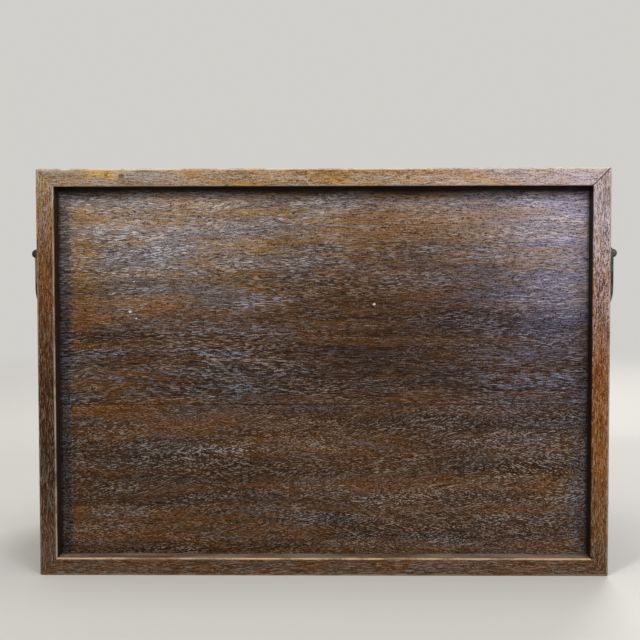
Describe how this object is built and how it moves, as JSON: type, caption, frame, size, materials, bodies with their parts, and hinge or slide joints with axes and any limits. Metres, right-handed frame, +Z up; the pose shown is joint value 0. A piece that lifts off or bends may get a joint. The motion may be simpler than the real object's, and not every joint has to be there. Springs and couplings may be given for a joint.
{
  "type": "tea ceremony box",
  "caption": "Upright wooden tea box with a mitred case, an inset back panel, dovetailed drawers with iron drop pulls, and a carrying handle on each end.",
  "frame": {"origin": "centre of the underside of the case, on the surface that the box stands on", "axes": "+Z up; the drawers face -Y; the inset back that the picture shows faces +Y; +X is to the right of someone who faces the drawers"},
  "size_m": [0.459, 0.2415, 0.3],
  "materials": {
    "case_wood": "dark oiled open-pore hardwood, worn lighter on the arrises",
    "panel_wood": "dark stained open-pore hardwood, satin, with pale streaks in the pores",
    "inner_wood": "unstained hardwood, planed, a little darkened by age",
    "front_wood": "dark oiled open-pore hardwood, satin",
    "drawer_wood": "plain light softwood, planed",
    "iron": "blackened wrought iron, rubbed grey where fingers touch"
  },
  "bodies": {
    "case": {"case_top": "case_wood", "case_bottom": "case_wood", "case_left_side": "case_wood", "case_right_side": "case_wood", "back_board_upper": "panel_wood", "back_board_lower": "panel_wood", "shelf_upper": "inner_wood", "shelf_lower": "inner_wood", "partition_upper": "inner_wood", "partition_middle": "inner_wood", "drawer_stops": "inner_wood", "left_handle_rosettes": "iron", "left_handle_posts": "iron", "right_handle_rosettes": "iron", "right_handle_posts": "iron"},
    "top_left_drawer": {"top_left_drawer_front": "front_wood", "top_left_drawer_left_side": "drawer_wood", "top_left_drawer_right_side": "drawer_wood", "top_left_drawer_back": "drawer_wood", "top_left_drawer_bottom": "drawer_wood", "top_left_pull_rosettes": "iron", "top_left_pull_posts": "iron"},
    "top_left_pull": {"top_left_pull_bail": "iron"},
    "top_right_drawer": {"top_right_drawer_front": "front_wood", "top_right_drawer_left_side": "drawer_wood", "top_right_drawer_right_side": "drawer_wood", "top_right_drawer_back": "drawer_wood", "top_right_drawer_bottom": "drawer_wood", "top_right_pull_rosettes": "iron", "top_right_pull_posts": "iron"},
    "top_right_pull": {"top_right_pull_bail": "iron"},
    "middle_left_drawer": {"middle_left_drawer_front": "front_wood", "middle_left_drawer_left_side": "drawer_wood", "middle_left_drawer_right_side": "drawer_wood", "middle_left_drawer_back": "drawer_wood", "middle_left_drawer_bottom": "drawer_wood", "middle_left_pull_rosettes": "iron", "middle_left_pull_posts": "iron"},
    "middle_left_pull": {"middle_left_pull_bail": "iron"},
    "middle_right_drawer": {"middle_right_drawer_front": "front_wood", "middle_right_drawer_left_side": "drawer_wood", "middle_right_drawer_right_side": "drawer_wood", "middle_right_drawer_back": "drawer_wood", "middle_right_drawer_bottom": "drawer_wood", "middle_right_pull_rosettes": "iron", "middle_right_pull_posts": "iron"},
    "middle_right_pull": {"middle_right_pull_bail": "iron"},
    "bottom_drawer": {"bottom_drawer_front": "front_wood", "bottom_drawer_left_side": "drawer_wood", "bottom_drawer_right_side": "drawer_wood", "bottom_drawer_back": "drawer_wood", "bottom_drawer_bottom": "drawer_wood", "bottom_pull_rosettes": "iron", "bottom_pull_posts": "iron"},
    "bottom_pull": {"bottom_pull_bail": "iron"},
    "left_handle": {"left_handle_bail": "iron"},
    "right_handle": {"right_handle_bail": "iron"}
  },
  "joints": [
    {"name": "top_left_drawer_slide", "type": "slide", "parent": "case", "child": "top_left_drawer", "axis": [0, -1, 0], "range_m": [0, 0.155]},
    {"name": "top_left_pull_hinge", "type": "hinge", "parent": "top_left_drawer", "child": "top_left_pull", "pos_m": [-0.1005, -0.123, 0.2697], "axis": [-1, 0, 0], "range_deg": [-16, 192]},
    {"name": "top_right_drawer_slide", "type": "slide", "parent": "case", "child": "top_right_drawer", "axis": [0, -1, 0], "range_m": [0, 0.155]},
    {"name": "top_right_pull_hinge", "type": "hinge", "parent": "top_right_drawer", "child": "top_right_pull", "pos_m": [0.1005, -0.123, 0.2697], "axis": [-1, 0, 0], "range_deg": [-16, 192]},
    {"name": "middle_left_drawer_slide", "type": "slide", "parent": "case", "child": "middle_left_drawer", "axis": [0, -1, 0], "range_m": [0, 0.155]},
    {"name": "middle_left_pull_hinge", "type": "hinge", "parent": "middle_left_drawer", "child": "middle_left_pull", "pos_m": [-0.1005, -0.123, 0.1907], "axis": [-1, 0, 0], "range_deg": [-16, 192]},
    {"name": "middle_right_drawer_slide", "type": "slide", "parent": "case", "child": "middle_right_drawer", "axis": [0, -1, 0], "range_m": [0, 0.155]},
    {"name": "middle_right_pull_hinge", "type": "hinge", "parent": "middle_right_drawer", "child": "middle_right_pull", "pos_m": [0.1005, -0.123, 0.1907], "axis": [-1, 0, 0], "range_deg": [-16, 192]},
    {"name": "bottom_drawer_slide", "type": "slide", "parent": "case", "child": "bottom_drawer", "axis": [0, -1, 0], "range_m": [0, 0.155]},
    {"name": "bottom_pull_hinge", "type": "hinge", "parent": "bottom_drawer", "child": "bottom_pull", "pos_m": [0, -0.123, 0.0817], "axis": [-1, 0, 0], "range_deg": [-16, 192]},
    {"name": "left_handle_hinge", "type": "hinge", "parent": "case", "child": "left_handle", "pos_m": [-0.222, 0, 0.239], "axis": [0, 1, 0], "range_deg": [-12, 192]},
    {"name": "right_handle_hinge", "type": "hinge", "parent": "case", "child": "right_handle", "pos_m": [0.222, 0, 0.239], "axis": [0, -1, 0], "range_deg": [-12, 192]}
  ]
}
